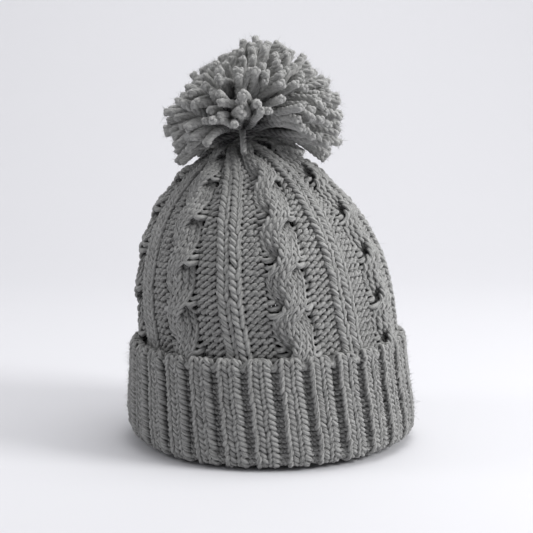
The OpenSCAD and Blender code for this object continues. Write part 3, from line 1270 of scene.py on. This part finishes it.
@dataclass
class Notions:
    """The small pieces that hold the hat together: seams, gathering yarn, ties and their knots, and the label."""

    sewing: bpy.types.Material
    cut: bpy.types.Material
    satin: bpy.types.Material
    top: float = 203 * MM
    top_x: float = -13 * MM
    tie: tuple[float, float, float] = (-14 * MM, -1 * MM, 214.5 * MM)
    label_turn: float = math.radians(14)
    label_wide: float = 26 * MM
    label_low: float = 74 * MM
    label_high: float = 110 * MM
    label_out: float = 78.4 * MM

    def yarn(self, name: str, route: Array, radius: float, material: bpy.types.Material,
             closed: bool = False) -> bpy.types.Object:
        """Makes one plied yarn along a route.

        Args:
            name: the piece's name.
            route: its centre line.
            radius: the yarn's radius.
            material: its finish.
            closed: whether it joins up.

        Returns:
            The piece.
        """
        # Sewing yarns, the binding and the knots are painted with a little shade along their whole length
        core = Strands(route[None], np.full((1, len(route)), radius), closed, 8, np.full((1, len(route)), 0.75))
        return YarnPiece(name, material).add(plied(core, 9 * MM)).build()

    def whip(self, low: float, high: float, depth: Callable[[Array], Array], x: Callable[[Array], Array],
             swing: float, step: float) -> Array:
        """The route of a whipped seam up the back.

        Args:
            low: its lowest height.
            high: its highest one.
            depth: its y at heights.
            x: its x at heights.
            swing: half the width of the stitches.
            step: the height of a stitch.

        Returns:
            Points along it.
        """
        z = np.linspace(low, high, int((high - low) / step * 10))
        turn = TURN * (z - low) / step
        return np.stack([x(z) + swing * np.sin(turn), depth(z) - 0.9 * MM * np.cos(turn),
                         z + 0.25 * step * np.sin(2 * turn)], -1)

    def seams(self) -> list[tuple[str, bpy.types.Object]]:
        """The seams up the crown's inside and down the cuff's back furrow.

        Returns:
            The names of the nodes that the pieces stand for, and the pieces.
        """
        def inside(z: Array) -> Array:
            u = np.clip((z - 80 * MM) / (self.top - 6.8 * MM - 80 * MM), 0, 1)
            wall = np.where(z < 66 * MM, 85.1 * MM, 82.3 * MM + 2.8 * MM * smooth((80 * MM - z) / (14 * MM)))
            return wall * (1 - u ** 2.6) ** (1 / 1.45) - 1.2 * MM

        def lean(z: Array) -> Array:
            return self.top_x * np.sin(math.pi / 2 * np.clip((z - 70 * MM) / (self.top - 70 * MM), 0, 1))

        back = self.whip(14 * MM, 177 * MM, inside, lean, 1.6 * MM, 5.2 * MM)
        cuff = self.whip(9 * MM, 62 * MM, lambda z: np.full_like(z, 94.6 * MM), lambda z: 0 * z, 1.1 * MM, 6 * MM)
        return [("back_seam", self.yarn("back_seam_yarn", back, 1.3 * MM, self.sewing)),
                ("cuff_seam", self.yarn("cuff_seam_yarn", cuff, 1.2 * MM, self.sewing))]

    def knot(self, name: str, middle: tuple, size: float, radius: float,
             material: bpy.types.Material) -> bpy.types.Object:
        """An overhand knot pulled into a small ball.

        Args:
            name: the piece's name.
            middle: where it is.
            size: the reach of its loops' centre line.
            radius: the yarn's radius.
            material: its finish.

        Returns:
            The piece.
        """
        t = np.linspace(0, TURN, 120, endpoint=False)
        loops = np.stack([np.sin(t) + 2 * np.sin(2 * t), np.cos(t) - 2 * np.cos(2 * t), -2.2 * np.sin(3 * t)], -1)
        return self.yarn(name, np.array(middle) + loops * size / 3, radius, material, closed=True)

    def ties(self) -> list[tuple[str, bpy.types.Object]]:
        """The gathering yarn, the pom pom's binding and tails, and the knots.

        Returns:
            The names of the nodes that the pieces stand for, and the pieces.
        """
        t = np.linspace(0, TURN, 160, endpoint=False)
        ring = np.stack([self.top_x + 8.5 * MM * np.sin(t), -8.5 * MM * np.cos(t),
                         self.top - 2.6 * MM + 1.3 * MM * np.sin(14 * t)], -1)
        turns = 3.5
        w = np.linspace(0, TURN * turns, 200)
        tie = np.array(self.tie)
        wound = tie + np.stack([2.3 * MM * (2 * w / w[-1] - 1) * 1.3, 6 * MM * np.sin(w), 6 * MM * np.cos(w)], -1)
        under = tie - np.array([0, 0, 7.5]) * MM
        foot = np.array([self.top_x, 0.0, self.top - 15 * MM])
        tau = np.linspace(0, 1, 40)[:, None]
        tails = YarnPiece("tie_tail_yarns", self.cut)
        for side in (-1, 1):
            way = under * (1 - smooth(tau)) + foot * smooth(tau)
            way[:, 2] = (under[2] * (1 - tau) + foot[2] * tau)[:, 0]
            way = way + np.array([side * 1.75 * MM, 0, 0])
            # The tails are painted with more shade along their whole length
            core = Strands(way[None], np.full((1, 40), 1.55 * MM), False, 8, np.full((1, 40), 0.6))
            tails.add(plied(core, 9 * MM, side))
        return [
            ("gather_yarn", self.yarn("gather_ring_yarn", ring, 1.6 * MM, self.sewing, closed=True)),
            ("gather_knot", self.knot("gather_knot_yarn", (self.top_x, 14.5 * MM, self.top - 12.4 * MM),
                                      2.4 * MM, 1.2 * MM, self.sewing)),
            ("pompom_binding", self.yarn("binding_turns", wound, 1.5 * MM, self.cut)),
            ("binding_knot", self.knot("binding_knot_yarn", tuple(under), 2.2 * MM, 1.2 * MM, self.cut)),
            ("tie_tails", tails.build()),
            ("inside_knot", self.knot("inside_knot_yarn", (self.top_x, 0.0, self.top - 13.4 * MM),
                                      4.3 * MM, 1.9 * MM, self.cut)),
        ]

    def on_label(self, across: Array, out: Array, z: Array) -> Array:
        """Points beside the label, from places across it, out from it and up."""
        cos, sin = math.cos(self.label_turn), math.sin(self.label_turn)
        depth = self.label_out + out
        return np.stack([across * cos - depth * sin, across * sin + depth * cos, z + 0 * across], -1)

    def label(self) -> list[tuple[str, bpy.types.Object]]:
        """The blank label: a ribbon doubled over, hanging from five stitches in its top edge.

        Returns:
            The names of the nodes that the pieces stand for, and the pieces.
        """
        bend = 0.55 * MM
        straight = np.linspace(self.label_high, self.label_low + bend, 26)
        turn = np.linspace(0, math.pi, 13)[1:-1]
        # Open at the fold, pressed together at the stitches
        gap = bend * (0.35 + 0.65 * smooth((self.label_high - straight) / (26 * MM)))
        out = np.concatenate([-gap, -bend * np.cos(turn), gap[::-1]])
        z = np.concatenate([straight, self.label_low + bend - bend * np.sin(turn), straight[::-1]])
        across = np.linspace(-0.5, 0.5, 15) * self.label_wide
        bow = 0.5 * MM * (1 - (2 * across / self.label_wide) ** 2)
        grid = np.stack([self.on_label(across, o - bow * smooth(np.array((self.label_high - h) / (30 * MM))),
                                       np.full_like(across, h)) for o, h in zip(out, z)])
        rows, columns = grid.shape[:2]
        faces = [(i * columns + j, i * columns + j + 1, (i + 1) * columns + j + 1, (i + 1) * columns + j)
                 for i in range(rows - 1) for j in range(columns - 1)]
        mesh = bpy.data.meshes.new("care_label_ribbon")
        mesh.from_pydata([tuple(v) for v in grid.reshape(-1, 3)], [], faces)
        mesh.materials.append(self.satin)
        mesh.polygons.foreach_set("use_smooth", np.ones(len(faces), dtype=bool))
        ribbon = bpy.data.objects.new("care_label_ribbon", mesh)
        bpy.context.scene.collection.objects.link(ribbon)
        solid = ribbon.modifiers.new("thickness", "SOLIDIFY")
        solid.thickness, solid.offset = 0.2 * MM, 0.0

        thread = YarnPiece("label_stitch_threads", self.satin)
        t = np.linspace(0, TURN, 24, endpoint=False)
        for k in range(5):
            centre = (-10 + 5 * k) * MM
            loop = self.on_label(centre + 1.5 * MM * np.sign(np.sin(t)) * np.abs(np.sin(t)) ** 0.5,
                                 1.5 * MM - 2.4 * MM * np.cos(t), np.full_like(t, self.label_high - 3 * MM))
            thread.add(Strands(loop[None], np.full((1, 24), 0.3 * MM), True, 6))
        return [("care_label", ribbon), ("label_stitches", thread.build())]


# ---------------------------------------------------------------- studio

@dataclass
class Studio:
    """A pale sweep of paper, soft light from above and the right, and the camera."""

    eye: tuple[float, float, float] = (-3.5 * MM, -970 * MM, 258.8 * MM)
    pitch: float = math.radians(8.24)
    lens: float = 95.5
    floor: MattPaper = MattPaper("studio paper", "d2d2d5")

    def camera(self) -> None:
        """Sets the camera up."""
        data = bpy.data.cameras.new("camera")
        data.lens, data.sensor_width = self.lens, 36.0
        data.clip_start, data.clip_end = 0.01, 20.0
        camera = bpy.data.objects.new("camera", data)
        camera.location = self.eye
        camera.rotation_euler = (math.pi / 2 - self.pitch, 0.0, 0.0)
        bpy.context.scene.collection.objects.link(camera)
        bpy.context.scene.camera = camera
        bpy.context.scene.view_settings.view_transform = "Standard"

    def sweep(self) -> None:
        """Lays the paper: a floor that curves up far behind the hat."""
        start, bend = 0.7, 1.1
        depth = [-6.0, start]
        height = [0.0, 0.0]
        for step in range(1, 13):
            a = math.radians(90 * step / 12)
            depth.append(start + bend * math.sin(a))
            height.append(bend * (1 - math.cos(a)))
        depth.append(start + bend)
        height.append(4.0)
        vertices, faces = [], []
        for y, z in zip(depth, height):
            vertices += [(-4.0, y, z), (4.0, y, z)]
        for k in range(len(depth) - 1):
            faces.append((2 * k, 2 * k + 1, 2 * k + 3, 2 * k + 2))
        mesh = bpy.data.meshes.new("studio_sweep")
        mesh.from_pydata(vertices, [], faces)
        for polygon in mesh.polygons:
            polygon.use_smooth = True
        mesh.materials.append(self.floor.build())
        paper = bpy.data.objects.new("studio_sweep", mesh)
        bpy.context.scene.collection.objects.link(paper)
        # The hat stands on the cuff's fold, so the paper stays under it when the cuff is unrolled
        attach(paper, "cuff_body")

    def lights(self) -> None:
        """Hangs the softboxes and sets the surrounding light."""
        self.softbox("top_softbox", (0.3, 0.0, 1.5), (0.0, 0.0, 0.1), 0.8, 9.5)
        self.softbox("right_softbox", (1.2, -0.45, 0.8), (0.0, 0.0, 0.12), 0.5, 17.0)
        self.softbox("left_softbox", (-1.2, -0.1, 0.9), (-0.3, 0.1, 0.1), 0.5, 3.2)
        self.softbox("paper_softbox", (0.0, 0.5, 2.3), (-0.1, 1.8, 1.4), 1.2, 21.0)
        world = bpy.data.worlds.new("studio_room")
        world.use_nodes = True
        background = world.node_tree.nodes["Background"]
        background.inputs["Color"].default_value = linear("f0f0f4")
        background.inputs["Strength"].default_value = 0.5
        bpy.context.scene.world = world

    def softbox(self, name: str, place: tuple, aim: tuple, size: float, power: float) -> None:
        """Hangs one square softbox.

        Args:
            name: its name.
            place: where it hangs.
            aim: the point it faces.
            size: the length of its side.
            power: its power in watts.
        """
        data = bpy.data.lights.new(name, "AREA")
        data.size, data.energy = size, power
        lamp = bpy.data.objects.new(name, data)
        lamp.location = place
        lamp.rotation_euler = (Vector(aim) - Vector(place)).to_track_quat("-Z", "Y").to_euler()
        bpy.context.scene.collection.objects.link(lamp)


def main() -> None:
    """Builds the studio and then the hat, from the foot up."""
    logging.basicConfig(level=logging.INFO, format="%(message)s")
    studio = Studio()
    studio.camera()
    studio.sweep()
    studio.lights()

    knit_yarn = PliedYarn("plied acrylic and wool yarn, knitted", "777775", "aeaeac").build()
    cut_yarn = PliedYarn("plied acrylic and wool yarn, cut", "838381", "bebebc", ply_depth=0.3, ply_painted_shade=0.15).build()
    sewing_yarn = PliedYarn("plied acrylic and wool yarn, sewing", "68686a", "88888b").build()
    satin = WovenSatin().build()

    cuff_pieces = Cuff(knit_yarn).build()
    for piece in cuff_pieces:
        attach(piece, "cuff_body")
    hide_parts("cuff")

    crown_pieces = Crown(knit_yarn).build()
    for piece in crown_pieces:
        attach(piece, "crown_body")
    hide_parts("crown")

    # The hidden layer runs from the crown down to the fold
    for piece in HiddenLayer(knit_yarn).build():
        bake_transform(piece)

    # The pom pom's strands run from the tie out to the ball
    pom_pieces = PomPom(cut_yarn).build()
    for piece in pom_pieces:
        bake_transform(piece)
    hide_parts("pompom_strands", "lower_strands")

    notions = Notions(sewing_yarn, cut_yarn, satin)
    rides = {
        "back_seam": ("crown_body", "sewing_yarn"), "cuff_seam": ("cuff_body", "sewing_yarn"),
        "gather_yarn": ("crown_body", "sewing_yarn"), "gather_knot": ("crown_body", "sewing_yarn"),
        "care_label": ("crown_body", "label_satin"), "label_stitches": ("crown_body", "label_thread"),
        "tie_tails": ("tie_body", "pompom_yarn"), "inside_knot": ("tie_body", "pompom_yarn"),
        "pompom_binding": ("pompom_body", "pompom_yarn"), "binding_knot": ("pompom_body", "pompom_yarn"),
    }
    for node, piece in notions.seams() + notions.ties() + notions.label():
        body, slot = rides[node]
        if body == "pompom_body":
            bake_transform(piece)
        else:
            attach(piece, body)
        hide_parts(node)


if __name__ == "__main__":
    main()
